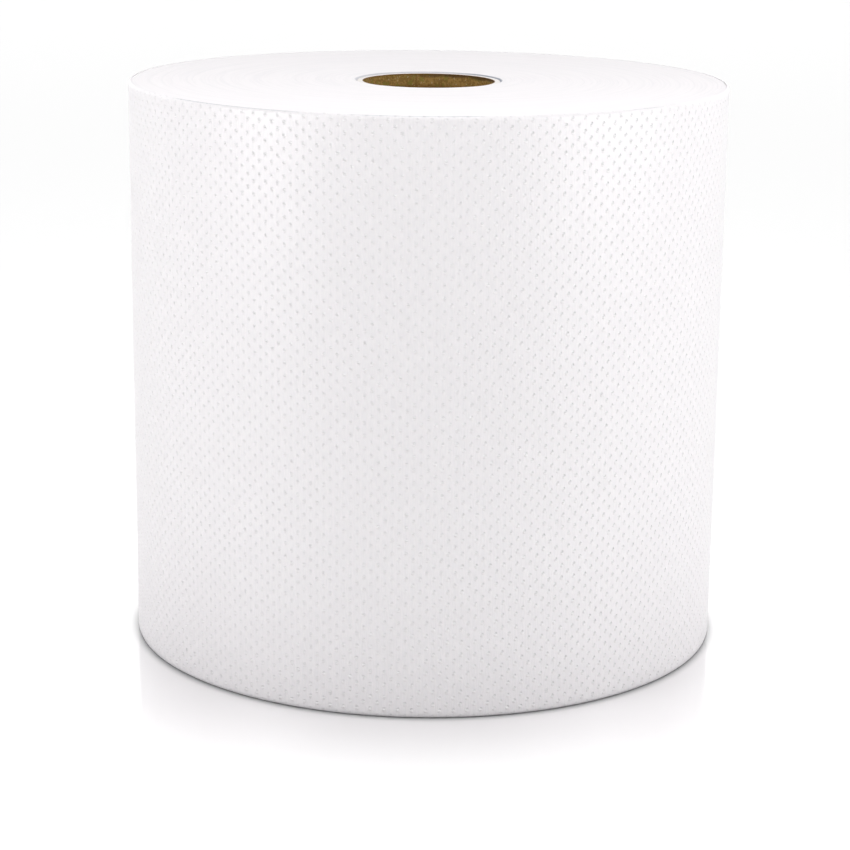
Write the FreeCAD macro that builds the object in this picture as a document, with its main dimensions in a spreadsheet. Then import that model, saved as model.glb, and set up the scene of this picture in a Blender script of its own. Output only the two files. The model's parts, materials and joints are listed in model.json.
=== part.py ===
import FreeCAD, Part
import os
import Sketcher

# Paper towel roll: one long web of white towel paper, wound hard on a paperboard core.
# Lengths are in millimetres and +Z is up. The roll stands on its end, and the origin is the
# centre of its base, where the winding axis meets the surface that it stands on.
# The tail, the straight cut end of the outermost turn, lies flat at the back, on the +Y side.

# Driving sizes, each with a note on what it measures
SIZES = {
    "roll_diameter": (203.2, "across the wound paper, left to right"),
    "web_width": (192.5, "width of the paper web, which is the height of the standing roll"),
    "rim_round": (2.0, "radius that the outer turns' edges are rounded to at both rims"),
    "tail_step": (0.25, "how far the tail's cut edge stands above the turn below it"),
    "core_bore_diameter": (44.45, "inside of the core, which slips over a holder"),
    "core_wall": (2.2, "thickness of the core's wound paperboard"),
    "core_fit_gap": (0.05, "glue line between the core and the first turn"),
    "core_recess": (0.45, "how far each end of the core lies inside the paper's face"),
    "shown_turns": (8, "turns of the spiral line that stands for the wound edges on a face"),
    "turn_line_width": (0.6, "width of that spiral line at the face"),
    "turn_line_depth": (0.2, "depth of that spiral line below the face"),
}
FIRST_ROW = 2

# Sizes that follow from the driving ones
ROLL_RADIUS = "sizes.roll_diameter / 2"
CORE_RADIUS = "(sizes.core_bore_diameter / 2 + sizes.core_wall)"
HOLE_RADIUS = f"({CORE_RADIUS} + sizes.core_fit_gap)"
TURN_SPACING = f"(({ROLL_RADIUS} - sizes.rim_round - {HOLE_RADIUS}) / (sizes.shown_turns + 1))"
FIRST_TURN_RADIUS = f"({HOLE_RADIUS} + {TURN_SPACING} / 2)"

# How far the middle of a quarter round lies inside its square corner
ROUND_INSET = "(sizes.rim_round * (1 - sqrt(0.5)))"

# The two halves of a spiral: the side, the share of a full turn's step that the half's centre is
# moved back by, and whether it turns to the right
HALVES = (("left", 0, False), ("right", 0.5, True))
HALF_TURN_DEGREES = 180

# Places on a sketch: its origin, and the points of a line or a circle
ORIGIN = (-1, 1)
START = 1
END = 2
CENTRE = 3


def make_sheet():
    """The sheet of driving sizes, with a name, a value and a note on each row."""
    new_sheet = doc.addObject("Spreadsheet::Sheet", "sizes")
    for row, (name, (value, note)) in enumerate(SIZES.items(), FIRST_ROW):
        new_sheet.set(f"A{row}", name)
        new_sheet.set(f"B{row}", str(value))
        new_sheet.set(f"C{row}", note)
        new_sheet.setAlias(f"B{row}", name)
    doc.recompute()
    return new_sheet


def value_of(expression):
    """The number that an expression on the sheet comes to."""
    return float(sheet.evalExpression(expression))


def make_body(label):
    """One piece of the roll, with a label that names its file."""
    body = doc.addObject("PartDesign::Body", label)
    body.Label = label
    return body


def add_sketch(body, name, role, shift_across="0"):
    """A sketch on one of the body's own origin planes, moved along its first axis."""
    sketch = body.newObject("Sketcher::SketchObject", name)
    plane = next(f for f in body.Origin.OriginFeatures if f.Role == role)
    sketch.AttachmentSupport = [(plane, "")]
    sketch.MapMode = "FlatFace"
    sketch.setExpression(".AttachmentOffset.Base.x", shift_across)
    return sketch


def add_dimensions(sketch, dimensions):
    """Dimensions that the sheet drives, each given as its kind, its places and an expression."""
    constraints = [
        Sketcher.Constraint(kind, *places, value_of(expression))
        for kind, places, expression in dimensions
    ]
    for index, (_, _, expression) in zip(sketch.addConstraint(constraints), dimensions):
        sketch.setExpression(f"Constraints[{index}]", expression)


def add_circle(sketch, radius):
    """A circle about the sketch's origin."""
    shape = Part.Circle(FreeCAD.Vector(), FreeCAD.Vector(0, 0, 1), value_of(radius))
    circle = sketch.addGeometry(shape)
    sketch.addConstraint(Sketcher.Constraint("Coincident", circle, CENTRE, *ORIGIN))
    add_dimensions(sketch, [("Radius", (circle,), radius)])


def add_outline(sketch, corners):
    """A closed outline of straight lines. Two expressions give each corner, across and up."""
    points = [FreeCAD.Vector(value_of(across), value_of(up), 0) for across, up in corners]
    ends = points[1:] + points[:1]
    lines = [sketch.addGeometry(Part.LineSegment(*pair)) for pair in zip(points, ends)]
    followers = lines[1:] + lines[:1]
    sketch.addConstraint(
        [
            Sketcher.Constraint("Coincident", line, END, follower, START)
            for line, follower in zip(lines, followers)
        ]
    )
    dimensions = []
    for line, (across, up) in zip(lines, corners):
        dimensions.append(("DistanceX", (*ORIGIN, line, START), across))
        dimensions.append(("DistanceY", (*ORIGIN, line, START), up))
    add_dimensions(sketch, dimensions)


def half_turned(body, kind, name, sketch, towards_right):
    """A solid or a cut made by turning a sketch half a turn about its own upright axis."""
    feature = body.newObject(kind, name)
    feature.Profile = sketch
    feature.ReferenceAxis = (sketch, ["V_Axis"])
    feature.Angle = HALF_TURN_DEGREES
    feature.Reversed = towards_right
    body.Tip = feature
    doc.recompute()


def checked_volume(body, before, grows):
    """The body's volume. Stops the script if the last feature didn't change it as it should."""
    after = body.Shape.Volume
    if after == before or (after > before) != grows:
        raise RuntimeError(f"{body.Tip.Name} doesn't change {body.Label} as it should")
    return after


# Paper web
# The wound web is one solid. Its outline is a spiral drawn as two half circles, whose centres lie
# half a tail step apart, so that the halves meet flush at the front and leave the tail's step at
# the back. Each rim is rounded in two short slants along a quarter round.
def add_half_roll(body, side, centre_shift, towards_right):
    """One half of the wound web, turned from half of its lengthwise section."""
    radius = f"({ROLL_RADIUS} + {centre_shift})"
    width = "sizes.web_width"
    corners = [
        ("0", "0"),
        (f"{radius} - sizes.rim_round", "0"),
        (f"{radius} - {ROUND_INSET}", ROUND_INSET),
        (radius, "sizes.rim_round"),
        (radius, f"{width} - sizes.rim_round"),
        (f"{radius} - {ROUND_INSET}", f"{width} - {ROUND_INSET}"),
        (f"{radius} - sizes.rim_round", width),
        ("0", width),
    ]
    sketch = add_sketch(body, f"{side}_section", "YZ_Plane", centre_shift)
    add_outline(sketch, corners)
    half_turned(body, "PartDesign::Revolution", f"{side}_half", sketch, towards_right)


def add_core_hole(body):
    """The hole that the winding leaves for the core."""
    sketch = add_sketch(body, "core_hole_circle", "XY_Plane")
    add_circle(sketch, HOLE_RADIUS)
    hole = body.newObject("PartDesign::Pocket", "core_hole")
    hole.Profile = sketch
    hole.Type = "ThroughAll"
    hole.Reversed = True
    body.Tip = hole
    doc.recompute()


# Both faces show the turns' edges as one shallow spiral line. It is made like the outline, of half
# circles about two centres, which here lie half a line spacing apart.
def add_half_spiral(body, side, centre_shift, towards_right):
    """The spiral line's half circles on one side, cut with a pointed section."""
    sketch = add_sketch(body, f"{side}_turn_marks", "YZ_Plane", centre_shift)
    half_width = "sizes.turn_line_width / 2"
    top_bottom = "sizes.web_width - sizes.turn_line_depth"
    faces = (("0", "sizes.turn_line_depth"), ("sizes.web_width", top_bottom))
    for turn in range(round(value_of("sizes.shown_turns"))):
        middle = f"({FIRST_TURN_RADIUS} + {turn} * {TURN_SPACING} + {centre_shift})"
        for face, bottom in faces:
            inner = (f"{middle} - {half_width}", face)
            outer = (f"{middle} + {half_width}", face)
            add_outline(sketch, [inner, outer, (middle, bottom)])
    half_turned(body, "PartDesign::Groove", f"{side}_turn_lines", sketch, towards_right)


def make_towel_web():
    """The wound web: two half rolls, the hole for the core, and the lines on both faces."""
    body = make_body("towel_web")
    volume = 0
    for side, share, towards_right in HALVES:
        add_half_roll(body, side, f"{share} * sizes.tail_step", towards_right)
        volume = checked_volume(body, volume, grows=True)
    add_core_hole(body)
    volume = checked_volume(body, volume, grows=False)
    for side, share, towards_right in HALVES:
        add_half_spiral(body, side, f"{share} * {TURN_SPACING}", towards_right)
        volume = checked_volume(body, volume, grows=False)
    return body


# Core
# A tube of brown paperboard, wound from strips and glued, and cut square at both ends. It carries
# the first turn of the web, and its ends lie a little inside the paper's faces.
def make_core_tube():
    """The paperboard tube, standing at its recess above the base."""
    body = make_body("core_tube")
    sketch = add_sketch(body, "tube_section", "XY_Plane")
    add_circle(sketch, CORE_RADIUS)
    add_circle(sketch, "sizes.core_bore_diameter / 2")
    tube = body.newObject("PartDesign::Pad", "wound_board")
    tube.Profile = sketch
    tube.setExpression("Length", "sizes.web_width - 2 * sizes.core_recess")
    body.Tip = tube
    body.setExpression(".Placement.Base.z", "sizes.core_recess")
    doc.recompute()
    checked_volume(body, 0, grows=True)
    return body


def check_document(pieces):
    """Stops the script if anything in the document failed, or a piece isn't one whole solid."""
    for item in doc.Objects:
        if {"Invalid", "Error"} & set(item.State):
            raise RuntimeError(f"{item.Name} is {item.State}")
    for piece in pieces:
        shape = piece.Shape
        if shape.isNull() or not shape.isValid() or len(shape.Solids) != 1:
            raise RuntimeError(f"{piece.Label} isn't one valid solid")


def write_pieces(pieces):
    """One file for each piece, named by its label."""
    os.makedirs("parts", exist_ok=True)
    for piece in pieces:
        piece.Shape.exportStep(f"parts/{piece.Label}.step")
        print(f"{piece.Label}: {piece.Shape.Volume:.0f} cubic mm")


doc = FreeCAD.newDocument("paper_towel_roll")
sheet = make_sheet()
pieces = [make_towel_web(), make_core_tube()]
doc.recompute()
check_document(pieces)
write_pieces(pieces)
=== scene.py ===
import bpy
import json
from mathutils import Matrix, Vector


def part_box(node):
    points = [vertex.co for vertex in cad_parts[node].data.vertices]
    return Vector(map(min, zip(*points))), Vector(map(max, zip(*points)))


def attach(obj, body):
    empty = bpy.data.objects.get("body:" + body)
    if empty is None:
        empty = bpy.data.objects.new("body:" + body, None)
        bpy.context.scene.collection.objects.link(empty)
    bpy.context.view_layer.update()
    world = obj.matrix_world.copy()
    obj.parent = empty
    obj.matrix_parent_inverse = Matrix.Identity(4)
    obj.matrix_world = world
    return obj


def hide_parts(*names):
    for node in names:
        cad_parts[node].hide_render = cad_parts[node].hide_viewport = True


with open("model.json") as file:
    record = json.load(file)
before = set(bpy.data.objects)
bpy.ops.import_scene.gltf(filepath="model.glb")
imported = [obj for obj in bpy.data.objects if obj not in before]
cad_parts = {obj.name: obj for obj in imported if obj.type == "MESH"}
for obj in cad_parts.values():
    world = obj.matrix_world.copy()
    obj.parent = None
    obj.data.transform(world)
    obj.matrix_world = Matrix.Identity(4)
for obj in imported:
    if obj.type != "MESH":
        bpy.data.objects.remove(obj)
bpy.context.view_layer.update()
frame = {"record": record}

import json
import math

import bmesh
import bpy
from mathutils import Matrix, Vector, noise


# Core tube
# The stiff brown tube that the web is wound on: strips of kraft board, wound in a long screw round
# a mandrel, glued and sawn square. The first turn of the web is glued to it.
core_low, core_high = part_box("core_tube")
CORE_RADIUS = core_high[0]
BORE_RADIUS = frame["record"]["mounts"][0]["dims"]["r_mm"] / 1000
CORE_BOTTOM, CORE_TOP = core_low[2], core_high[2]
CORE_SEGMENTS = 144
CORE_ROWS = 320
PLIES = 5
STEPS_A_PLY = 4
PLY_GROOVE = 0.00006
SAWN_EDGE = 0.00018
SAWN_FUZZ = 0.00004
FUZZ_AROUND = 40.0
FUZZ_ACROSS = 4000.0
STRIP_LEAD = 0.094
STRIP_STEP = 0.00016
STRIP_RAMP = 0.0011
INNER_PLY = 0.0005

# Textures of the board in repeats a metre, and how high its relief stands
MOTTLE_SCALE = 160.0
SPECKLE_SCALE = 1500.0
FIBRE_SCALE = 1400.0
FIBRE_STRETCH = 0.12
OLIVE_SCALE = 420.0
FLECK_SCALE = 1300.0
FIBRE_RELIEF = 0.00012
MOTTLE_RELIEF = 0.0003
BOARD_ROUGHNESS = 0.72
BOARD_GLOSS = 0.3

# Colours of the board, and how far its two rings of painted shade reach into the bore
KRAFT_BROWN = (0.44, 0.265, 0.074)
KRAFT_DARK = (0.26, 0.15, 0.032)
KRAFT_OLIVE = (0.27, 0.23, 0.04)
KRAFT_FLECK = (0.60, 0.48, 0.26)
KRAFT_EDGE_SHADOW = (0.075, 0.035, 0.010)
KRAFT_RUST = (0.17, 0.07, 0.012)
BOARD_PALE = (0.80, 0.765, 0.745)
EDGE_DEPTH = 0.0016
DEEP_START = 0.0034
DEEP_END = 0.0046


def put(tree, kind, inputs=(), **settings):
    """A node with its settings, and with its inputs linked or set by name or number."""
    new = tree.nodes.new(kind)
    for name, value in settings.items():
        setattr(new, name, value)
    for key, value in dict(inputs).items():
        if isinstance(value, bpy.types.NodeSocket):
            tree.links.new(value, new.inputs[key])
        else:
            new.inputs[key].default_value = value
    return new


def calc(tree, operation, *terms):
    """The result of one step of arithmetic on numbers or sockets."""
    return put(tree, "ShaderNodeMath", enumerate(terms), operation=operation).outputs[0]


def eased(tree, value, start, end, low=0.0, high=1.0):
    """A value eased from low to high while the given one runs from start to end."""
    limits = {"Value": value, "From Min": start, "From Max": end, "To Min": low, "To Max": high}
    return put(tree, "ShaderNodeMapRange", limits, interpolation_type="SMOOTHSTEP").outputs[0]


def parts_of(tree, place):
    """The three values of a place."""
    return put(tree, "ShaderNodeSeparateXYZ", {0: place}).outputs


def place_of(tree, x, y, z):
    """A place from its three values."""
    return put(tree, "ShaderNodeCombineXYZ", {0: x, 1: y, 2: z}).outputs[0]


def off_axis(tree, x, y):
    """How far a place lies from the winding axis."""
    squares = calc(tree, "MULTIPLY", x, x), calc(tree, "MULTIPLY", y, y)
    return calc(tree, "SQRT", calc(tree, "ADD", *squares))


def cloud(tree, place, scale, detail=2.0):
    """Soft random values about one half, on the given coordinates."""
    inputs = {"Vector": place, "Scale": scale, "Detail": detail}
    return put(tree, "ShaderNodeTexNoise", inputs).outputs["Fac"]


def blended(tree, share, first, second):
    """A colour between two colours or colour sockets."""
    inputs = {0: share, 6: first, 7: second}
    return put(tree, "ShaderNodeMix", inputs, data_type="RGBA").outputs[2]


def paint(colour):
    """A colour with its alpha."""
    return (*colour, 1.0)


def raised(tree, height, distance, below=None):
    """A normal bent by a height in metres times a distance, on top of another such normal."""
    inputs = {"Height": height, "Distance": distance, "Strength": 1.0}
    if below is not None:
        inputs["Normal"] = below
    return put(tree, "ShaderNodeBump", inputs).outputs[0]


def new_material(name):
    """A material with its node tree emptied, and the tree."""
    material = bpy.data.materials.new(name)
    material.use_nodes = True
    material.node_tree.nodes.clear()
    return material, material.node_tree


def finish_material(tree, inputs):
    """The one shader of a material, joined to its output."""
    shader = put(tree, "ShaderNodeBsdfPrincipled", inputs)
    put(tree, "ShaderNodeOutputMaterial", {"Surface": shader.outputs[0]})


def turn_outwards(mesh):
    """Turns all the faces of a closed mesh outwards."""
    work = bmesh.new()
    work.from_mesh(mesh)
    bmesh.ops.recalc_face_normals(work, faces=work.faces)
    work.to_mesh(mesh)
    work.free()


def strip_step(angle, height):
    """How far the inner strip's edge stands off the wall: a ramp on one side of its seam."""
    past_seam = (height / STRIP_LEAD - angle / math.tau) % 1.0 * STRIP_LEAD
    return STRIP_STEP * max(0.0, 1.0 - past_seam / STRIP_RAMP)


def sawn_end():
    """Points across a sawn end from the bore outwards: radius, and depth below the end."""
    steps = PLIES * STEPS_A_PLY
    points = [(BORE_RADIUS, SAWN_EDGE)]
    for step in range(1, steps):
        share = step / steps
        groove = PLY_GROOVE * 0.5 * (1.0 + math.cos(math.tau * share * PLIES))
        points.append((BORE_RADIUS + (CORE_RADIUS - BORE_RADIUS) * share, groove))
    points.append((CORE_RADIUS, SAWN_EDGE))
    return points


def core_section():
    """The closed section of the tube: up the bore, out across the top, down, and back below."""
    wall_low, wall_high = CORE_BOTTOM + SAWN_EDGE, CORE_TOP - SAWN_EDGE
    row_height = (wall_high - wall_low) / CORE_ROWS
    bore = [(BORE_RADIUS, wall_low + row_height * row) for row in range(1, CORE_ROWS)]
    top = [(radius, CORE_TOP - depth) for radius, depth in sawn_end()]
    bottom = [(radius, CORE_BOTTOM + depth) for radius, depth in reversed(sawn_end())]
    return bore + top + bottom


def make_core_tube():
    """The tube's mesh, with the seam of its inner strip and the plies of its sawn ends."""
    section = core_section()
    points, faces = [], []
    for segment in range(CORE_SEGMENTS):
        angle = math.tau * segment / CORE_SEGMENTS
        outwards = Vector((math.cos(angle), math.sin(angle), 0.0))
        for radius, height in section:
            if radius == BORE_RADIUS:
                radius += STRIP_STEP - strip_step(angle, height)
            fuzz_place = outwards * FUZZ_AROUND + Vector((0.0, 0.0, radius * FUZZ_ACROSS))
            fuzz = SAWN_FUZZ * noise.noise(fuzz_place)
            points.append(outwards * (radius + fuzz) + Vector((0.0, 0.0, height + fuzz)))
    for segment in range(CORE_SEGMENTS):
        here = segment * len(section)
        beside = (segment + 1) % CORE_SEGMENTS * len(section)
        for row in range(len(section)):
            above = (row + 1) % len(section)
            faces.append((here + row, beside + row, beside + above, here + above))
    mesh = bpy.data.meshes.new("core_tube_of_plies")
    mesh.from_pydata(points, [], faces)
    turn_outwards(mesh)
    mesh.shade_smooth()
    return mesh


def kraft_board():
    """Brown, mottled, fibrous board that shows paler plies where it is sawn."""
    material, tree = new_material("kraft_board")
    place = put(tree, "ShaderNodeTexCoord").outputs["Object"]
    x, y, z = parts_of(tree, place)

    mottle = cloud(tree, place, MOTTLE_SCALE, detail=5.0)
    speckle = cloud(tree, place, SPECKLE_SCALE)
    tone = calc(
        tree, "ADD", calc(tree, "MULTIPLY", mottle, 0.3), calc(tree, "MULTIPLY", speckle, 0.7),
    )
    colour = blended(tree, eased(tree, tone, 0.4, 0.6), paint(KRAFT_DARK), paint(KRAFT_BROWN))
    olive = eased(tree, cloud(tree, place, OLIVE_SCALE), 0.52, 0.62, 0.0, 0.7)
    colour = blended(tree, olive, colour, paint(KRAFT_OLIVE))
    fleck = eased(tree, cloud(tree, place, FLECK_SCALE, detail=1.0), 0.66, 0.72, 0.0, 0.8)
    colour = blended(tree, fleck, colour, paint(KRAFT_FLECK))

    half_length = (CORE_TOP - CORE_BOTTOM) / 2
    from_middle = calc(tree, "ABSOLUTE", calc(tree, "SUBTRACT", z, (CORE_TOP + CORE_BOTTOM) / 2))
    # Painted shadow: a dark band at each sawn end of the bore, stronger towards the right side
    ragged = calc(tree, "MULTIPLY", calc(tree, "SUBTRACT", mottle, 0.5), EDGE_DEPTH * 1.5)
    edge = eased(
        tree, calc(tree, "ADD", from_middle, ragged),
        half_length - EDGE_DEPTH, half_length - EDGE_DEPTH * 0.3,
    )
    painted_shadow_side = eased(tree, x, -CORE_RADIUS * 0.6, CORE_RADIUS * 0.3, 0.1, 0.8)
    colour = blended(tree, calc(tree, "MULTIPLY", edge, painted_shadow_side), colour, paint(KRAFT_EDGE_SHADOW))
    # Painted shade: the bore is coloured darker deeper in, past a few millimetres from each end
    painted_bore_shade = eased(tree, from_middle, half_length - DEEP_END, half_length - DEEP_START, 0.6, 0.0)
    colour = blended(tree, painted_bore_shade, colour, paint(KRAFT_RUST))

    radius = off_axis(tree, x, y)
    inner = eased(tree, radius, BORE_RADIUS + INNER_PLY * 0.5, BORE_RADIUS + INNER_PLY, 1.0, 0.0)
    end_colour = blended(tree, inner, paint(BOARD_PALE), paint(KRAFT_RUST))
    sawn = eased(
        tree, from_middle, half_length - SAWN_EDGE * 1.4, half_length - SAWN_EDGE * 0.7,
    )
    colour = blended(tree, sawn, colour, end_colour)

    stretch = (1.0, 1.0, FIBRE_STRETCH)
    fibre_place = put(tree, "ShaderNodeMapping", {"Vector": place, "Scale": stretch}).outputs[0]
    normal = raised(tree, cloud(tree, fibre_place, FIBRE_SCALE, detail=3.0), FIBRE_RELIEF)
    normal = raised(tree, mottle, MOTTLE_RELIEF, normal)
    finish_material(tree, {
        "Base Color": colour, "Roughness": BOARD_ROUGHNESS, "Specular IOR Level": BOARD_GLOSS,
        "Normal": normal,
    })
    return material


core = bpy.data.objects.new("core_tube_of_plies", make_core_tube())
bpy.context.scene.collection.objects.link(core)
core.data.materials.append(kraft_board())
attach(core, "root")
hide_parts("core_tube")


# Wound web
# All the turns under the outermost one. Their cut edges make the two flat faces of the roll, in a
# fine spiral, and the first turn is glued round the core. The outer turns are rounded at the rims.
web_low, web_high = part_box("towel_web")
ROLL_RADIUS = -web_low[1]
ROLL_HEIGHT = web_high[2]
TAIL_STEP = web_high[1] - ROLL_RADIUS
GLUE_GAP = 0.00005
HOLE_RADIUS = CORE_RADIUS + GLUE_GAP
SHEET_THICKNESS = 0.0003
SHEET_GAP = 0.00012
WOUND_RADIUS = ROLL_RADIUS - SHEET_THICKNESS - SHEET_GAP
RIM_ROUND = 0.0012
HOLE_ROUND = 0.0005
WOUND_SEGMENTS = 288
FACE_RINGS = 96
SHOWN_TURNS = 8.0
TURN_GROOVE = 0.00005
BAND_RELIEF = 0.00022
BAND_SCALE = 260.0
BAND_DRIFT = 0.35
SAME_PLACE = 0.00001

# Looks of the cut edges: their white and its shade, a painted shadow line at the core, and their fine
# relief
TOWEL_WHITE = (0.857, 0.832, 0.847)
TOWEL_SHADE = (0.82, 0.80, 0.818)
HOLE_SHADOW_GREY = (0.30, 0.32, 0.37)
HOLE_SHADOW_WIDTH = 0.0007
HOLE_SHADOW_SCALE = 140.0
TURNS_A_METRE = 700.0
LINT_SCALE = 2600.0
TURN_RELIEF = 0.00022
LINT_RELIEF = 0.00005
CUT_ROUGHNESS = 0.8
CUT_GLOSS = 0.3


def new_shape_tree(name, inputs):
    """A Geometry Nodes tree with named inputs, and the sockets that give them."""
    tree = bpy.data.node_groups.new(name, "GeometryNodeTree")
    for label, kind in inputs.items():
        tree.interface.new_socket(label, in_out="INPUT", socket_type=f"NodeSocket{kind}")
    tree.interface.new_socket("Mesh", in_out="OUTPUT", socket_type="NodeSocketGeometry")
    return tree, put(tree, "NodeGroupInput").outputs


def close_shape_tree(tree, geometry, material):
    """Ends a tree: shaded smooth, instances made real, and given its material."""
    smooth = put(tree, "GeometryNodeSetShadeSmooth", {"Geometry": geometry}).outputs[0]
    real = put(tree, "GeometryNodeRealizeInstances", {"Geometry": smooth}).outputs[0]
    finished = put(tree, "GeometryNodeSetMaterial", {"Geometry": real, "Material": material})
    put(tree, "NodeGroupOutput", {0: finished.outputs[0]})


def plain_mesh_of(tree, name, sizes):
    """An object whose plain mesh is what the tree makes of the given sizes."""
    piece = bpy.data.objects.new(name, bpy.data.meshes.new(name))
    bpy.context.scene.collection.objects.link(piece)
    shape = piece.modifiers.new("shape", "NODES")
    shape.node_group = tree
    for socket in tree.interface.items_tree:
        if socket.in_out == "INPUT":
            shape[socket.identifier] = sizes[socket.name]
    seen = bpy.context.evaluated_depsgraph_get()
    mesh = bpy.data.meshes.new_from_object(piece.evaluated_get(seen), depsgraph=seen)
    piece.modifiers.clear()
    piece.data = mesh
    for index in reversed(range(len(mesh.materials))):
        if mesh.materials[index] is None:
            mesh.materials.pop(index=index)
    mesh.name = name
    turn_outwards(mesh)
    return piece


def more_than(tree, value, limit):
    """True where a value is larger than a limit."""
    return put(
        tree, "FunctionNodeCompare", {0: value, 1: limit},
        data_type="FLOAT", operation="GREATER_THAN",
    ).outputs[0]


def open_edges(tree):
    """True at the edges of a mesh that have a face on one side only."""
    faces = put(tree, "GeometryNodeInputMeshEdgeNeighbors").outputs["Face Count"]
    return put(
        tree, "FunctionNodeCompare", {2: faces, 3: 1}, data_type="INT", operation="EQUAL",
    ).outputs[0]


def merged(tree, geometry):
    """The same mesh with the points that lie together made one."""
    inputs = {"Geometry": geometry, "Distance": SAME_PLACE}
    return put(tree, "GeometryNodeMergeByDistance", inputs).outputs[0]


def moved(tree, geometry, place, selection=True):
    """The same mesh with its points, or those of a selection, at new places."""
    inputs = {"Geometry": geometry, "Selection": selection, "Position": place}
    return put(tree, "GeometryNodeSetPosition", inputs).outputs[0]


def pierced_drum(tree, given):
    """A closed drum, 1 in radius and 2 high, as rings of faces round a hole of one ring."""
    drum = put(
        tree, "GeometryNodeMeshCylinder",
        {"Vertices": given["Segments"], "Side Segments": 1, "Fill Segments": given["Rings"],
         "Radius": 1.0, "Depth": 2.0},
        fill_type="TRIANGLE_FAN",
    ).outputs["Mesh"]
    x, y, z = parts_of(tree, put(tree, "GeometryNodeInputPosition").outputs[0])
    centre = more_than(tree, calc(tree, "DIVIDE", 0.5, given["Rings"]), off_axis(tree, x, y))
    open_drum = put(
        tree, "GeometryNodeDeleteGeometry", {"Geometry": drum, "Selection": centre},
        domain="POINT",
    ).outputs[0]
    top_hole = put(
        tree, "FunctionNodeBooleanMath", {0: open_edges(tree), 1: more_than(tree, z, 0.0)},
        operation="AND",
    ).outputs[0]
    down = place_of(tree, 0.0, 0.0, -2.0)
    walled = put(
        tree, "GeometryNodeExtrudeMesh",
        {"Mesh": open_drum, "Selection": top_hole, "Offset": down, "Offset Scale": 1.0},
        mode="EDGES",
    ).outputs[0]
    return merged(tree, walled)


def wound_web_tree():
    """Both faces, both rims, the hidden wall and the hole, as rings round the winding axis."""
    tree, given = new_shape_tree(
        "wound_web",
        {
            "Segments": "Int", "Rings": "Int", "Outer Radius": "Float", "Hole Radius": "Float",
            "Height": "Float", "Rim Round": "Float", "Hole Round": "Float", "Turns": "Float",
            "Groove": "Float", "Band Relief": "Float", "Material": "Material",
        },
    )
    drum = pierced_drum(tree, given)
    x, y, z = parts_of(tree, put(tree, "GeometryNodeInputPosition").outputs[0])
    share = off_axis(tree, x, y)

    # Radius: the drum's rings spread from the hole to the outside
    first = calc(tree, "DIVIDE", 1.0, given["Rings"])
    across = calc(
        tree, "DIVIDE", calc(tree, "SUBTRACT", share, first), calc(tree, "SUBTRACT", 1.0, first),
    )
    radius = eased(tree, across, 0.0, 1.0, given["Hole Radius"], given["Outer Radius"])

    # Rim: how far its quarter round drops below the face
    inside = calc(tree, "SUBTRACT", given["Outer Radius"], radius)
    slack = calc(tree, "MAXIMUM", calc(tree, "SUBTRACT", given["Rim Round"], inside), 0.0)
    squares = calc(tree, "POWER", given["Rim Round"], 2.0), calc(tree, "POWER", slack, 2.0)
    rise = calc(tree, "SQRT", calc(tree, "MAXIMUM", calc(tree, "SUBTRACT", *squares), 0.0))
    drop = calc(tree, "SUBTRACT", given["Rim Round"], rise)

    # Spiral groove: one line that comes round once in each spacing
    width = calc(tree, "SUBTRACT", given["Outer Radius"], given["Hole Radius"])
    spacing = calc(tree, "DIVIDE", width, calc(tree, "ADD", given["Turns"], 1.0))
    turns_in = calc(
        tree, "DIVIDE", calc(tree, "SUBTRACT", radius, given["Hole Radius"]), spacing,
    )
    turned = calc(tree, "DIVIDE", calc(tree, "ARCTAN2", y, x), math.tau)
    along = calc(tree, "SUBTRACT", turns_in, turned)
    wave = calc(tree, "COSINE", calc(tree, "MULTIPLY", along, math.tau))
    groove = calc(tree, "MULTIPLY", eased(tree, wave, 0.75, 1.0), given["Groove"])

    # Bands of turns that stand a little lower, and fade out at the hole and at the rim
    side_shift = calc(tree, "MULTIPLY", z, 0.5)
    band_place = place_of(
        tree, calc(tree, "MULTIPLY", x, BAND_DRIFT), calc(tree, "MULTIPLY", y, BAND_DRIFT),
        calc(tree, "MULTIPLY", calc(tree, "ADD", radius, side_shift), BAND_SCALE),
    )
    bands = calc(tree, "SUBTRACT", cloud(tree, band_place, 1.0, detail=2.5), 0.5)
    fade = calc(
        tree, "MULTIPLY", eased(tree, across, 0.0, 0.06), eased(tree, across, 0.9, 0.97, 1.0, 0.0),
    )
    relief = calc(
        tree, "MULTIPLY", calc(tree, "MULTIPLY", bands, given["Band Relief"]), fade,
    )

    low = calc(tree, "ADD", calc(tree, "ADD", drop, groove), calc(tree, "ABSOLUTE", relief))
    low = calc(tree, "ADD", low, eased(tree, across, 0.0, 0.07, given["Hole Round"], 0.0))
    half = calc(tree, "DIVIDE", given["Height"], 2.0)
    height = calc(
        tree, "ADD", half, calc(tree, "MULTIPLY", z, calc(tree, "SUBTRACT", half, low)),
    )
    place = place_of(
        tree, calc(tree, "MULTIPLY", calc(tree, "DIVIDE", x, share), radius),
        calc(tree, "MULTIPLY", calc(tree, "DIVIDE", y, share), radius), height,
    )
    close_shape_tree(tree, moved(tree, drum, place), given["Material"])
    return tree


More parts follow.
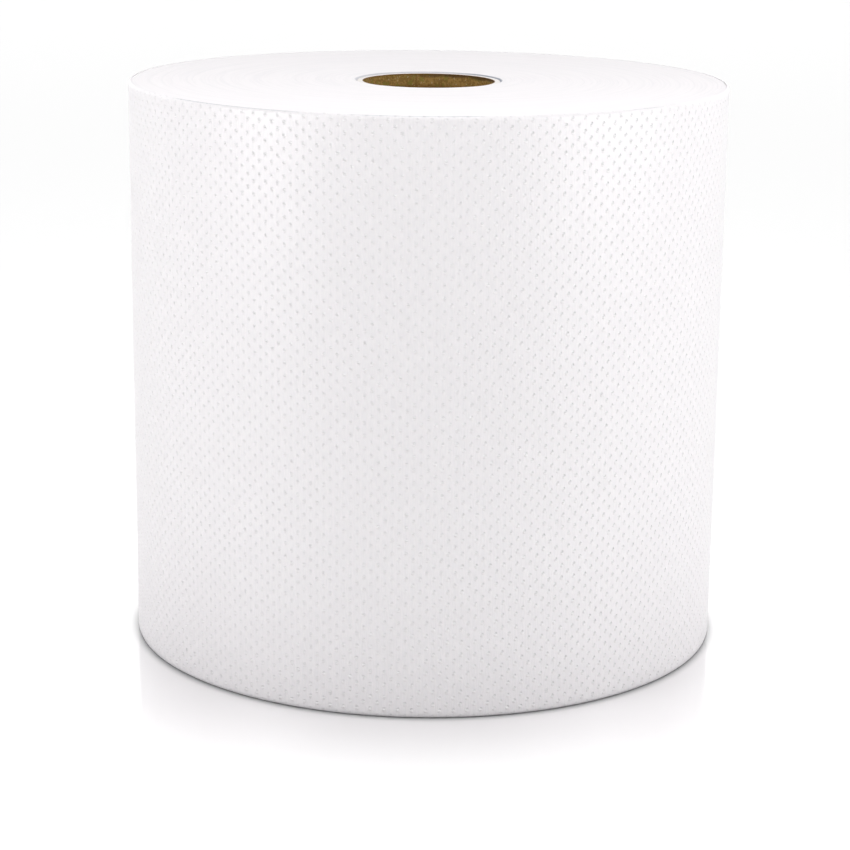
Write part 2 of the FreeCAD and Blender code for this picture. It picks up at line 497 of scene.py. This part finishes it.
def cut_edges():
    """White paper seen on its cut edges: close, soft turns, a little uneven, with fine lint."""
    material, tree = new_material("towel_cut_edges")
    place = put(tree, "ShaderNodeTexCoord").outputs["Object"]
    x, y = parts_of(tree, place)[:2]
    radius = off_axis(tree, x, y)
    ring = place_of(
        tree, calc(tree, "DIVIDE", x, radius), calc(tree, "DIVIDE", y, radius),
        calc(tree, "MULTIPLY", radius, TURNS_A_METRE),
    )
    turns = cloud(tree, ring, 1.6, detail=4.0)
    colour = blended(tree, eased(tree, turns, 0.3, 0.6), paint(TOWEL_SHADE), paint(TOWEL_WHITE))

    # Painted shadow: a grey-blue line round the hole where the paper meets the core, darker on the
    # right
    uneven = calc(tree, "SUBTRACT", cloud(tree, place, HOLE_SHADOW_SCALE, detail=3.0), 0.5)
    hole_shadow = eased(
        tree, calc(tree, "ADD", radius, calc(tree, "MULTIPLY", uneven, HOLE_SHADOW_WIDTH)),
        HOLE_RADIUS + HOLE_SHADOW_WIDTH * 0.4, HOLE_RADIUS + HOLE_SHADOW_WIDTH * 1.4, 1.0, 0.0,
    )
    hole_shadow_side = eased(tree, x, HOLE_RADIUS * 0.2, HOLE_RADIUS * 0.9, 0.5, 1.0)
    colour = blended(tree, calc(tree, "MULTIPLY", hole_shadow, hole_shadow_side), colour, paint(HOLE_SHADOW_GREY))

    normal = raised(tree, turns, TURN_RELIEF)
    normal = raised(tree, cloud(tree, place, LINT_SCALE), LINT_RELIEF, normal)
    finish_material(tree, {
        "Base Color": colour, "Roughness": CUT_ROUGHNESS, "Specular IOR Level": CUT_GLOSS,
        "Normal": normal,
    })
    return material


wound = plain_mesh_of(
    wound_web_tree(), "towel_wound_turns",
    {
        "Segments": WOUND_SEGMENTS, "Rings": FACE_RINGS, "Outer Radius": WOUND_RADIUS,
        "Hole Radius": HOLE_RADIUS, "Height": ROLL_HEIGHT, "Rim Round": RIM_ROUND,
        "Hole Round": HOLE_ROUND, "Turns": SHOWN_TURNS, "Groove": TURN_GROOVE,
        "Band Relief": BAND_RELIEF, "Material": cut_edges(),
    },
)
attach(wound, "root")
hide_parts("towel_web")


# Outer turn
# The last turn of the web, wrapped tight round the rest. The paper is embossed with staggered
# rows of small pits, its edges are rolled in at the rims, and its tail ends straight at the back.
PIT_COLUMNS = 144
PIT_ROWS = 90
PIT_CORNERS = 6
PIT_HALF_WIDTH = 0.00062
PIT_HALF_HEIGHT = 0.00047
PIT_DEPTH = 0.00023
PIT_BOTTOM_RISE = 0.00012
PIT_SEED = 7
PRESS_RANGE = (0.65, 1.25)
PRESS_SCALE = 300.0
END_MARGIN = 0.0031
web_length = math.tau * ROLL_RADIUS
pit_pitch = web_length / PIT_COLUMNS
row_pitch = (ROLL_HEIGHT - 2 * END_MARGIN) / (PIT_ROWS - 1)

# Edges: the straight bands are shares of the pits' pitches wide, and the stretch of the top edge
# that is rolled in further starts and ends over these degrees from the front
EDGE_INSET = 0.00015
EDGE_TURN_IN = RIM_ROUND * 1.3
EDGE_ROLLED_IN = 0.00025
ROLLED_START = (2.0, 9.0)
ROLLED_END = (33.0, 37.0)
EDGE_WAVE = 0.0003
WAVE_SCALE = 28.0
END_BAND = 0.45
RIM_BAND = 1.3
CREASE_ANGLE = 0.1
LOOSE_SKIN = 0.0005
LOOSE_SCALE = 9.0

# Looks of the paper: its painted shade in the pits, and the scale and relief of its creping. The
# painted shadow line on the top edge runs from one angle to another, in degrees from the front.
PIT_SHADE_WHITE = (0.74, 0.735, 0.75)
PIT_SHADE_SHARE = 0.4
RIM_SHADOW_GREY = (0.50, 0.50, 0.53)
RIM_SHADOW_WIDTH = 0.0006
RIM_SHADOW_SPANS = ((-52.0, -24.0, 0.8), (-13.0, 9.0, 0.8), (39.0, 46.0, 0.5))
RIM_SHADOW_FADE = 2.0
LIP_DROP = 1.5
LIP_SHARE = 1.2
CREPE_SCALE = 1900.0
CREPE_STRETCH = 0.14
CRINKLE_SCALE = 520.0
PUFF_SCALE = 60.0
PIT_RELIEF = 0.00016
CREPE_RELIEF = 0.00011
CRINKLE_RELIEF = 0.0001
PUFF_RELIEF = 0.0003
PAPER_ROUGHNESS = 0.34
PAPER_GLOSS = 0.9


def make_pit_tile():
    """One repeat of the embossing, laid flat: two pits, half a pitch apart in neighbouring rows."""
    turns = [math.tau * k / PIT_CORNERS for k in range(PIT_CORNERS)]
    ring = [(PIT_HALF_WIDTH * math.cos(turn), PIT_HALF_HEIGHT * math.sin(turn)) for turn in turns]
    points, faces, places = [], [], {}

    def corner(pit, across, up, k):
        """The number of a ring's point, or of a pit's bottom where k is None."""
        name = (pit, across, up, k)
        if name not in places:
            x = across * pit_pitch + (pit_pitch / 2 if pit == "upper" else 0.0)
            y = up * 2 * row_pitch + (row_pitch if pit == "upper" else 0.0)
            places[name] = len(points)
            if k is None:
                points.append((x, y + PIT_BOTTOM_RISE, -PIT_DEPTH))
            else:
                points.append((x + ring[k][0], y + ring[k][1], 0.0))
        return places[name]

    for pit in ("lower", "upper"):
        for k in range(PIT_CORNERS):
            next_k = (k + 1) % PIT_CORNERS
            names = ((pit, 0, 0, None), (pit, 0, 0, k), (pit, 0, 0, next_k))
            faces.append([corner(*name) for name in names])
    flats = (
        (("lower", 0, 0, 0), ("upper", 0, 0, 4), ("upper", 0, 0, 3), ("lower", 0, 0, 1)),
        (("lower", 0, 0, 2), ("upper", -1, 0, 0), ("upper", -1, 0, 5), ("lower", 0, 0, 3)),
        (("upper", 0, 0, 0), ("lower", 1, 1, 4), ("lower", 1, 1, 3), ("upper", 0, 0, 1)),
        (("upper", 0, 0, 2), ("lower", 0, 1, 0), ("lower", 0, 1, 5), ("upper", 0, 0, 3)),
        (("lower", 0, 0, 2), ("lower", 0, 0, 1), ("upper", 0, 0, 3),
         ("lower", 0, 1, 5), ("lower", 0, 1, 4), ("upper", -1, 0, 0)),
        (("upper", 0, -1, 2), ("upper", 0, -1, 1), ("lower", 1, 0, 3),
         ("upper", 0, 0, 5), ("upper", 0, 0, 4), ("lower", 0, 0, 0)),
    )
    for flat in flats:
        faces.append([corner(*name) for name in flat])
    mesh = bpy.data.meshes.new("pit_tile")
    mesh.from_pydata(points, [], faces)
    work = bmesh.new()
    work.from_mesh(mesh)
    bmesh.ops.triangulate(work, faces=work.faces)
    work.to_mesh(mesh)
    work.free()
    return mesh


def either(tree, share, there, here):
    """The first value where the share is one, and the second where it is nought."""
    change = calc(tree, "MULTIPLY", share, calc(tree, "SUBTRACT", there, here))
    return calc(tree, "ADD", here, change)


def held(tree, value, limit):
    """A value held between a limit's minus and plus."""
    above = calc(tree, "MAXIMUM", value, calc(tree, "MULTIPLY", limit, -1.0))
    return calc(tree, "MINIMUM", above, limit)


def beyond(tree, value, limit):
    """One where a value is further from nought than a limit, and else nought."""
    return calc(tree, "GREATER_THAN", calc(tree, "ABSOLUTE", value), limit)


def grown_edge(tree, geometry, new_place, selection):
    """The mesh with a new band of faces along an edge, whose far side lies at a new place."""
    inputs = {"Mesh": geometry, "Selection": selection, "Offset Scale": 0.0}
    band = put(tree, "GeometryNodeExtrudeMesh", inputs, mode="EDGES")
    grown = moved(tree, band.outputs["Mesh"], new_place, band.outputs["Top"])
    return merged(tree, grown)


def embossed_sheet(tree, given):
    """The tiles side by side, their common points made one."""
    tile = put(tree, "GeometryNodeObjectInfo", {"Object": given["Tile"]}).outputs["Geometry"]
    columns, rows = given["Columns"], given["Tile Rows"]
    width = calc(tree, "MULTIPLY", given["Pit Pitch"], calc(tree, "SUBTRACT", columns, 1.0))
    tile_height = calc(tree, "MULTIPLY", given["Row Pitch"], 2.0)
    height = calc(tree, "MULTIPLY", tile_height, calc(tree, "SUBTRACT", rows, 1.0))
    grid = put(
        tree, "GeometryNodeMeshGrid",
        {"Size X": width, "Size Y": height, "Vertices X": columns, "Vertices Y": rows},
    ).outputs["Mesh"]
    inputs = {"Points": grid, "Instance": tile}
    tiles = put(tree, "GeometryNodeInstanceOnPoints", inputs).outputs[0]
    return merged(tree, put(tree, "GeometryNodeRealizeInstances", {"Geometry": tiles}).outputs[0])


def rim_lines(tree, given, x, straight, half_length):
    """How far up and down the sheet's two long edges lie: the top one is wavy and rolled in."""
    degrees = calc(tree, "DIVIDE", calc(tree, "MULTIPLY", x, 180.0), half_length)
    rolled = calc(
        tree, "MULTIPLY", eased(tree, degrees, *ROLLED_START),
        eased(tree, degrees, *ROLLED_END, 1.0, 0.0),
    )
    waves = calc(tree, "SUBTRACT", cloud(tree, place_of(tree, x, 0.0, 0.0), WAVE_SCALE), 0.5)
    reach = calc(tree, "ADD", straight, given["Turn In"])
    wavy = calc(tree, "ADD", reach, calc(tree, "MULTIPLY", waves, given["Edge Wave"]))
    top_line = calc(tree, "ADD", wavy, calc(tree, "MULTIPLY", rolled, given["Rolled In"]))
    return top_line, calc(tree, "MULTIPLY", reach, -1.0)


def closed_sheet(tree, given, straight, half_length):
    """The embossed sheet with straight ends and rims, a turned-in edge, a back and crisp pits."""
    place = put(tree, "GeometryNodeInputPosition").outputs[0]
    x, y, z = parts_of(tree, place)
    on_edge = open_edges(tree)
    low_straight = calc(tree, "MULTIPLY", straight, -1.0)
    y_line = calc(tree, "MULTIPLY", calc(tree, "SIGN", y), straight)
    x_end = calc(tree, "MULTIPLY", calc(tree, "SIGN", x), half_length)
    top_line, low_line = rim_lines(tree, given, x, straight, half_length)

    # Trim: the tiles' ragged border is pushed in just short of the straight edges
    quarter = calc(tree, "MULTIPLY", given["Pit Pitch"], 0.25)
    middle_x = calc(tree, "SUBTRACT", x, quarter)
    middle_y = calc(tree, "SUBTRACT", y, calc(tree, "MULTIPLY", given["Row Pitch"], 0.5))
    inner_length = calc(tree, "SUBTRACT", half_length, given["Inset"])
    inner_straight = calc(tree, "SUBTRACT", straight, given["Inset"])
    trimmed = place_of(
        tree, held(tree, middle_x, inner_length), held(tree, middle_y, inner_straight), z,
    )
    sheet = moved(tree, embossed_sheet(tree, given), trimmed)

    # Straight border: a band out to the two ends and the two rims, with even steps at the rims
    end_margin = calc(tree, "MULTIPLY", given["Pit Pitch"], END_BAND)
    rim_margin = calc(tree, "MULTIPLY", given["Row Pitch"], RIM_BAND)
    near_end = beyond(tree, x, calc(tree, "SUBTRACT", half_length, end_margin))
    near_rim = beyond(tree, y, calc(tree, "SUBTRACT", straight, rim_margin))
    half_step = calc(tree, "MULTIPLY", quarter, 0.5)
    snapped = calc(tree, "SNAP", calc(tree, "ADD", x, half_step), quarter)
    x_straight = either(tree, near_end, x_end, either(tree, near_rim, snapped, x))
    y_straight = either(tree, near_rim, y_line, y)
    sheet = grown_edge(tree, sheet, place_of(tree, x_straight, y_straight, z), on_edge)

    # Turned-in rims: two bands, out to the wavy line
    at_rim = beyond(tree, y, calc(tree, "SUBTRACT", straight, SAME_PLACE))
    rim_edge = more_than(tree, calc(tree, "MULTIPLY", on_edge, at_rim), 0.5)
    y_edge = either(tree, calc(tree, "GREATER_THAN", y, 0.0), top_line, low_line)
    half_way = calc(tree, "MULTIPLY", calc(tree, "SUBTRACT", y_edge, y_line), 0.5)
    y_half = calc(tree, "ADD", y_line, half_way)
    sheet = grown_edge(tree, sheet, place_of(tree, x, y_half, z), rim_edge)
    sheet = grown_edge(tree, sheet, place_of(tree, x, y_edge, z), rim_edge)

    # Thickness: a band down to the back, then the back itself from rim to rim in three bands
    at_end = beyond(tree, x, calc(tree, "SUBTRACT", half_length, SAME_PLACE))
    past_rim = beyond(tree, y, calc(tree, "ADD", straight, SAME_PLACE))
    y_under = either(tree, at_end, either(tree, past_rim, y_edge, y_line), y)
    under = calc(tree, "MULTIPLY", given["Thickness"], -1.0)
    sheet = grown_edge(tree, sheet, place_of(tree, x, y_under, under), on_edge)
    above_low_rim = calc(
        tree, "GREATER_THAN", y, calc(tree, "SUBTRACT", low_straight, SAME_PLACE),
    )
    upper_edge = calc(tree, "MULTIPLY", on_edge, above_low_rim)
    between_ends = calc(tree, "SUBTRACT", 1.0, at_end)
    back_edge = more_than(tree, calc(tree, "MULTIPLY", upper_edge, between_ends), 0.5)
    for y_next in (straight, low_straight, low_line):
        sheet = grown_edge(tree, sheet, place_of(tree, x, y_next, z), back_edge)

    # Pits: crisp rims, and some pressed deeper than others
    bend = put(tree, "GeometryNodeInputMeshEdgeAngle").outputs["Unsigned Angle"]
    bent = calc(tree, "GREATER_THAN", bend, CREASE_ANGLE)
    on_front = calc(tree, "GREATER_THAN", z, -SAME_PLACE)
    crisp_edge = more_than(tree, calc(tree, "MULTIPLY", bent, on_front), 0.5)
    sheet = put(
        tree, "GeometryNodeSetShadeSmooth",
        {"Geometry": sheet, "Selection": crisp_edge, "Shade Smooth": False}, domain="EDGE",
    ).outputs[0]
    uneven = put(
        tree, "ShaderNodeTexNoise",
        {"Vector": place, "W": given["Seed"], "Scale": PRESS_SCALE, "Detail": 1.0},
        noise_dimensions="4D",
    ).outputs["Fac"]
    pressed = calc(
        tree, "MULTIPLY", calc(tree, "MINIMUM", z, 0.0),
        eased(tree, uneven, 0.25, 0.75, *PRESS_RANGE),
    )
    back_limit = calc(tree, "MULTIPLY", given["Thickness"], -0.99)
    is_pit = calc(tree, "GREATER_THAN", z, back_limit)
    return moved(tree, sheet, place_of(tree, x, y, either(tree, is_pit, pressed, z)))


def wrapped_place(tree, given, straight, half_length):
    """Where each point of the flat sheet lies once it is wrapped round the roll."""
    place = put(tree, "GeometryNodeInputPosition").outputs[0]
    x, y, z = parts_of(tree, place)

    # Skin: how far a point stands off the centre of the rim's round, a little loose in places
    away = calc(tree, "DIVIDE", calc(tree, "ABSOLUTE", y), straight)
    loose = calc(
        tree, "MULTIPLY", calc(tree, "SUBTRACT", cloud(tree, place, LOOSE_SCALE, detail=1.0), 0.5),
        eased(tree, away, 0.6, 1.0, given["Loose Skin"], 0.0),
    )
    skin = calc(tree, "ADD", calc(tree, "ADD", given["Rim Round"], z), loose)

    # Rims: what lies past the straight part goes round, as an angle on the rim's round
    past_top = calc(tree, "MAXIMUM", calc(tree, "SUBTRACT", y, straight), 0.0)
    downwards = calc(tree, "MULTIPLY", y, -1.0)
    past_low = calc(tree, "MAXIMUM", calc(tree, "SUBTRACT", downwards, straight), 0.0)
    round_top = calc(tree, "DIVIDE", past_top, given["Rim Round"])
    round_low = calc(tree, "DIVIDE", past_low, given["Rim Round"])
    outwards = calc(
        tree, "MULTIPLY", calc(tree, "COSINE", round_top), calc(tree, "COSINE", round_low),
    )
    upwards = calc(
        tree, "SUBTRACT", calc(tree, "SINE", round_top), calc(tree, "SINE", round_low),
    )

    # Spiral: the radius grows by the tail's step from one end of the turn to the other
    length = calc(tree, "MULTIPLY", half_length, 2.0)
    turn_share = calc(tree, "ADD", calc(tree, "DIVIDE", x, length), 0.5)
    grown = calc(
        tree, "ADD", given["Radius"], calc(tree, "MULTIPLY", given["Tail Step"], turn_share),
    )
    radius = calc(
        tree, "ADD", calc(tree, "SUBTRACT", grown, given["Rim Round"]),
        calc(tree, "MULTIPLY", skin, outwards),
    )
    raised_y = calc(tree, "ADD", held(tree, y, straight), calc(tree, "MULTIPLY", skin, upwards))
    up = calc(tree, "ADD", raised_y, calc(tree, "DIVIDE", given["Height"], 2.0))
    angle = calc(tree, "DIVIDE", calc(tree, "MULTIPLY", x, math.pi), half_length)
    to_back = calc(tree, "MULTIPLY", radius, calc(tree, "COSINE", angle))
    return place_of(
        tree, calc(tree, "MULTIPLY", radius, calc(tree, "SINE", angle)),
        calc(tree, "MULTIPLY", to_back, -1.0), up,
    )


def outer_turn_tree():
    """The embossed sheet: tiles laid flat, given straight edges and a thickness, then wrapped."""
    tree, given = new_shape_tree(
        "outer_turn",
        {
            "Tile": "Object", "Columns": "Int", "Tile Rows": "Int", "Pit Pitch": "Float",
            "Row Pitch": "Float", "Inset": "Float", "Thickness": "Float", "Radius": "Float",
            "Height": "Float", "Rim Round": "Float", "Turn In": "Float", "Rolled In": "Float",
            "Edge Wave": "Float", "Loose Skin": "Float", "Tail Step": "Float", "Seed": "Int",
            "Material": "Material",
        },
    )
    length = calc(tree, "MULTIPLY", given["Pit Pitch"], given["Columns"])
    half_length = calc(tree, "MULTIPLY", length, 0.5)
    half_height = calc(tree, "DIVIDE", given["Height"], 2.0)
    straight = calc(tree, "SUBTRACT", half_height, given["Rim Round"])
    sheet = closed_sheet(tree, given, straight, half_length)

    # The place on the flat web, kept for the material before the sheet is wrapped
    x, y = parts_of(tree, put(tree, "GeometryNodeInputPosition").outputs[0])[:2]
    web_place = place_of(
        tree, calc(tree, "ADD", calc(tree, "DIVIDE", x, length), 0.5),
        calc(tree, "ADD", calc(tree, "DIVIDE", y, length), 0.5), 0.0,
    )
    mapped = put(
        tree, "GeometryNodeStoreNamedAttribute",
        {"Geometry": sheet, "Name": "web_place", "Value": web_place},
        data_type="FLOAT2", domain="CORNER",
    ).outputs[0]
    wrapped = moved(tree, mapped, wrapped_place(tree, given, straight, half_length))
    close_shape_tree(tree, wrapped, given["Material"])
    return tree


def pit_mask(tree, column, row, drop):
    """One at the pits of every second row, or below them by a drop, and nought at their rims."""
    in_column = calc(tree, "SUBTRACT", calc(tree, "FRACT", calc(tree, "ADD", column, 0.5)), 0.5)
    row_pair = calc(tree, "ADD", calc(tree, "DIVIDE", row, 2.0), 0.5)
    in_row = calc(tree, "SUBTRACT", calc(tree, "FRACT", row_pair), 0.5)
    across = calc(tree, "MULTIPLY", in_column, pit_pitch / PIT_HALF_WIDTH)
    tall = calc(tree, "MULTIPLY", in_row, 2 * row_pitch / PIT_HALF_HEIGHT)
    away = off_axis(tree, across, calc(tree, "ADD", tall, drop))
    return eased(tree, away, 0.2, 1.15, 1.0, 0.0)


def rim_shadow_strength(tree, u):
    """How strongly the painted shadow line shows on the top edge, by the place along the web."""
    degrees = calc(tree, "MULTIPLY", calc(tree, "SUBTRACT", u, 0.5), 360.0)
    rim_shadow = 0.0
    for start, end, strength in RIM_SHADOW_SPANS:
        opened = eased(tree, degrees, start - RIM_SHADOW_FADE, start + RIM_SHADOW_FADE, 0.0, strength)
        closed = eased(tree, degrees, end - RIM_SHADOW_FADE, end + RIM_SHADOW_FADE, 1.0, 0.0)
        rim_shadow = calc(tree, "ADD", rim_shadow, calc(tree, "MULTIPLY", opened, closed))
    return rim_shadow


def embossed_towel():
    """Soft white towel paper: pressed pits, puffed between them, and finely creped upwards."""
    material, tree = new_material("embossed_towel")
    web_place = put(tree, "ShaderNodeUVMap", uv_map="web_place").outputs[0]
    u, v = parts_of(tree, web_place)[:2]
    along = calc(tree, "MULTIPLY", u, web_length)
    from_middle = calc(tree, "MULTIPLY", calc(tree, "SUBTRACT", v, 0.5), web_length)
    up = calc(tree, "ADD", from_middle, ROLL_HEIGHT / 2)
    column = calc(tree, "DIVIDE", along, pit_pitch)
    row = calc(tree, "DIVIDE", calc(tree, "SUBTRACT", up, END_MARGIN), row_pitch)

    # Pits of the even and the odd rows, and the lips that stand just below them
    even = calc(tree, "ADD", column, 0.75), row
    odd = calc(tree, "ADD", column, 0.25), calc(tree, "ADD", row, 1.0)
    pits = calc(tree, "MAXIMUM", pit_mask(tree, *even, 0.0), pit_mask(tree, *odd, 0.0))
    lips = calc(tree, "MAXIMUM", pit_mask(tree, *even, LIP_DROP), pit_mask(tree, *odd, LIP_DROP))

    # Relief: the embossing, then creping, crinkles and puffs
    flat = place_of(tree, along, up, 0.0)
    stretch = (1.0, CREPE_STRETCH, 1.0)
    crepe_place = put(tree, "ShaderNodeMapping", {"Vector": flat, "Scale": stretch}).outputs[0]
    crepe = cloud(tree, crepe_place, CREPE_SCALE)
    emboss = calc(tree, "SUBTRACT", calc(tree, "MULTIPLY", lips, LIP_SHARE), pits)
    normal = raised(tree, emboss, PIT_RELIEF)
    normal = raised(tree, crepe, CREPE_RELIEF, normal)
    normal = raised(tree, cloud(tree, flat, CRINKLE_SCALE, detail=3.0), CRINKLE_RELIEF, normal)
    normal = raised(tree, cloud(tree, flat, PUFF_SCALE), PUFF_RELIEF, normal)

    # Colour: creped white, painted shade in the pits, and a painted shadow line on parts of the top
    # edge
    colour = blended(tree, eased(tree, crepe, 0.3, 0.7), paint(TOWEL_SHADE), paint(TOWEL_WHITE))
    # Painted shade: the pits are coloured darker
    pressed = calc(tree, "MULTIPLY", pits, PIT_SHADE_SHARE)
    colour = blended(tree, pressed, colour, paint(PIT_SHADE_WHITE))
    # Painted shadow: a thin grey line along stretches of the top edge, where the wall meets the face
    edge_end = ROLL_HEIGHT - RIM_ROUND + EDGE_TURN_IN
    last_strip = eased(tree, up, edge_end - RIM_SHADOW_WIDTH, edge_end)
    rim_shadow = calc(tree, "MULTIPLY", last_strip, rim_shadow_strength(tree, u))
    colour = blended(tree, rim_shadow, colour, paint(RIM_SHADOW_GREY))
    finish_material(tree, {
        "Base Color": colour, "Roughness": PAPER_ROUGHNESS, "Specular IOR Level": PAPER_GLOSS,
        "Normal": normal,
    })
    return material


pit_tile = bpy.data.objects.new("pit_tile", make_pit_tile())
outer_turn = plain_mesh_of(
    outer_turn_tree(), "towel_outer_turn",
    {
        "Tile": pit_tile, "Columns": PIT_COLUMNS, "Tile Rows": PIT_ROWS // 2,
        "Pit Pitch": pit_pitch, "Row Pitch": row_pitch, "Inset": EDGE_INSET,
        "Thickness": SHEET_THICKNESS, "Radius": ROLL_RADIUS, "Height": ROLL_HEIGHT,
        "Rim Round": RIM_ROUND, "Turn In": EDGE_TURN_IN, "Rolled In": EDGE_ROLLED_IN,
        "Edge Wave": EDGE_WAVE, "Loose Skin": LOOSE_SKIN, "Tail Step": TAIL_STEP,
        "Seed": PIT_SEED, "Material": embossed_towel(),
    },
)
bpy.data.objects.remove(pit_tile)
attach(outer_turn, "root")
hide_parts("towel_web")


# Studio
# A plain pale floor, polished and greyed by painted shadow where the roll stands, with white all
# round.
# Soft boxes stand on both sides, in front and behind, three low strips light the foot of the roll,
# and a wide sun is overhead.
FLOOR_HALF_SIZE = 12.0
FLOOR_WHITE = (0.96, 0.96, 0.96)
FLOOR_ROUGHNESS = 0.22
POLISH_SHADOW_WHITE = (0.85, 0.835, 0.845)
POLISH_SHAPE = (0.62, 1.0, 1.0)
POLISH_START = ROLL_RADIUS * 0.96
POLISH_END = ROLL_RADIUS * 1.62
POLISH_ROUGHNESS = 0.04
POLISH_IOR = 2.2
CONTACT_SHADOW_GREY = (0.20, 0.21, 0.215)
CONTACT_INSIDE = 0.001
CONTACT_WIDTH = 0.0035
CONTACT_STRENGTH = 0.75

# Each soft box: its name, width and height, its place, the height that it faces, and its power
SOFT_BOXES = (
    ("left_box", 0.28, 0.46, (-0.461, -0.300, 0.32), 0.16, 1.45),
    ("right_box", 0.42, 0.46, (0.486, -0.258, 0.32), 0.16, 1.65),
    ("front_left_box", 0.22, 0.20, (-0.093, -0.348, 0.40), 0.14, 0.18),
    ("front_right_box", 0.22, 0.20, (0.152, -0.326, 0.40), 0.14, 0.19),
    ("back_box", 1.2, 0.8, (0.0, 0.6, 0.8), 0.1, 0.8),
    ("low_strip_0", 0.2, 0.015, (-0.17, -0.17, 0.012), 0.012, 0.005),
    ("low_strip_1", 0.2, 0.015, (0.0, -0.24, 0.012), 0.012, 0.005),
    ("low_strip_2", 0.2, 0.015, (0.17, -0.17, 0.012), 0.012, 0.005),
)
SUN_ENERGY = 1.0
SUN_WIDTH = 30.0
FRONT_WHITE = 0.11
BACK_WHITE = 1.34
CAMERA_DISTANCE = 0.8291
CAMERA_HEIGHT = 0.2831
CAMERA_PITCH = 14.356
CAMERA_ROLL = 0.624
CAMERA_LENS = 102.65
SENSOR_WIDTH = 36.0
VIEW_END = 60.0


def floor_paint():
    """White acrylic, polished where the roll stands and matt further out, greyed there by painted
    shadow.
    """
    material, tree = new_material("studio_floor")
    place = put(tree, "ShaderNodeTexCoord").outputs["Object"]
    oval = put(
        tree, "ShaderNodeVectorMath", {0: place, 1: POLISH_SHAPE}, operation="MULTIPLY",
    ).outputs[0]
    away = put(tree, "ShaderNodeVectorMath", {0: oval}, operation="LENGTH").outputs["Value"]
    # Painted shadow: the floor is coloured greyer where it is polished, round the roll; the coat is
    # real
    polish_and_shadow = eased(tree, away, POLISH_START, POLISH_END, 1.0, 0.0)
    radius = put(tree, "ShaderNodeVectorMath", {0: place}, operation="LENGTH").outputs["Value"]
    # Painted shadow: a dark ring on the floor at the roll's foot
    contact_shadow = eased(
        tree, radius, ROLL_RADIUS - CONTACT_INSIDE, ROLL_RADIUS + CONTACT_WIDTH,
        CONTACT_STRENGTH, 0.0,
    )
    white = blended(tree, polish_and_shadow, paint(FLOOR_WHITE), paint(POLISH_SHADOW_WHITE))
    finish_material(tree, {
        "Base Color": blended(tree, contact_shadow, white, paint(CONTACT_SHADOW_GREY)),
        "Roughness": FLOOR_ROUGHNESS,
        "Coat Weight": calc(tree, "MULTIPLY", polish_and_shadow, calc(tree, "SUBTRACT", 1.0, contact_shadow)),
        "Coat Roughness": POLISH_ROUGHNESS, "Coat IOR": POLISH_IOR,
    })
    return material


def soft_box(name, width, height, place, facing_height, power):
    """A soft box that faces the roll's axis at a height."""
    light = bpy.data.lights.new(name, "AREA")
    light.shape = "RECTANGLE"
    light.size, light.size_y = width, height
    light.energy = power
    box = bpy.data.objects.new(name, light)
    bpy.context.scene.collection.objects.link(box)
    facing = (Vector((0.0, 0.0, facing_height)) - Vector(place)).to_track_quat("-Z", "Y")
    box.matrix_world = Matrix.Translation(place) @ facing.to_matrix().to_4x4()


corners = ((-1, -1), (1, -1), (1, 1), (-1, 1))
floor_points = [(x * FLOOR_HALF_SIZE, y * FLOOR_HALF_SIZE, 0.0) for x, y in corners]
floor_mesh = bpy.data.meshes.new("studio_floor")
floor_mesh.from_pydata(floor_points, [], [(0, 1, 2, 3)])
floor = bpy.data.objects.new("studio_floor", floor_mesh)
bpy.context.scene.collection.objects.link(floor)
floor.data.materials.append(floor_paint())

for values in SOFT_BOXES:
    soft_box(*values)
sun = bpy.data.lights.new("overhead", "SUN")
sun.energy = SUN_ENERGY
sun.angle = math.radians(SUN_WIDTH)
bpy.context.scene.collection.objects.link(bpy.data.objects.new("overhead", sun))

world = bpy.data.worlds.new("studio_white")
world.use_nodes = True
air = world.node_tree
direction = put(air, "ShaderNodeTexCoord").outputs["Generated"]
brightness = eased(air, parts_of(air, direction)["Y"], -0.1, 0.9, FRONT_WHITE, BACK_WHITE)
air.links.new(brightness, air.nodes["Background"].inputs["Strength"])
air.nodes["Background"].inputs["Color"].default_value = (1.0, 1.0, 1.0, 1.0)
bpy.context.scene.world = world
bpy.context.scene.view_settings.view_transform = "Standard"

camera_data = bpy.data.cameras.new("camera")
camera_data.sensor_width = SENSOR_WIDTH
camera_data.lens = CAMERA_LENS
camera_data.clip_end = VIEW_END
camera = bpy.data.objects.new("camera", camera_data)
bpy.context.scene.collection.objects.link(camera)
camera.matrix_world = (
    Matrix.Translation((0.0, -CAMERA_DISTANCE, CAMERA_HEIGHT))
    @ Matrix.Rotation(math.radians(90.0 - CAMERA_PITCH), 4, "X")
    @ Matrix.Rotation(math.radians(CAMERA_ROLL), 4, "Z")
)
bpy.context.scene.camera = camera
